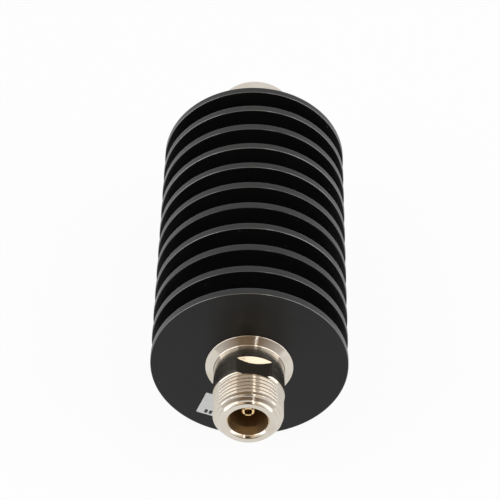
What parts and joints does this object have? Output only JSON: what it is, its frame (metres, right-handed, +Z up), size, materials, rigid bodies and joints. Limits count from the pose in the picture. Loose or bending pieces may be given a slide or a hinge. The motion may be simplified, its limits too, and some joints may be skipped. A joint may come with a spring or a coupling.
{
  "type": "rf attenuator",
  "caption": "Fixed coaxial attenuator: finned round heatsink with a type N socket at one end and a type N plug with a turning coupling nut at the other.",
  "frame": {"origin": "on the coaxial axis, halfway along the whole length", "axes": "+Y along the coaxial axis towards the plug, so the socket faces -Y; +Z up, with the fins' rims lowest"},
  "size_m": [0.045, 0.1116, 0.045],
  "materials": {
    "black_anodised": "black anodised, satin, turned",
    "nickel_plate": "nickel plated brass, turned, bright",
    "spring_steel": "bright spring steel",
    "gold_plate": "gold plated, bright",
    "white_insulator": "white fluoropolymer, waxy",
    "copper": "bare copper, milled",
    "ceramic": "fired ceramic with a resistor film",
    "silicone_rubber": "silicone rubber, matt",
    "paper_label": "pale sticker, blank"
  },
  "bodies": {
    "attenuator": {"heatsink": "black_anodised", "carrier_base": "copper", "carrier_cap": "copper", "dowel_pins": "spring_steel", "attenuator_chip": "ceramic", "jack_tab": "gold_plate", "plug_tab": "gold_plate", "jack_body": "nickel_plate", "jack_bead": "white_insulator", "jack_retainer": "nickel_plate", "jack_contact": "gold_plate", "plug_body": "nickel_plate", "plug_outer_contact": "nickel_plate", "plug_bead": "white_insulator", "plug_retainer": "nickel_plate", "plug_pin": "gold_plate", "nut_ring": "spring_steel", "plug_gasket": "silicone_rubber", "label": "paper_label"},
    "nut": {"coupling_nut": "nickel_plate"}
  },
  "joints": [
    {"name": "nut_spin", "type": "hinge", "parent": "attenuator", "child": "nut", "pos_m": [0, 0.0481, 0], "axis": [0, 1, 0], "continuous": true}
  ]
}
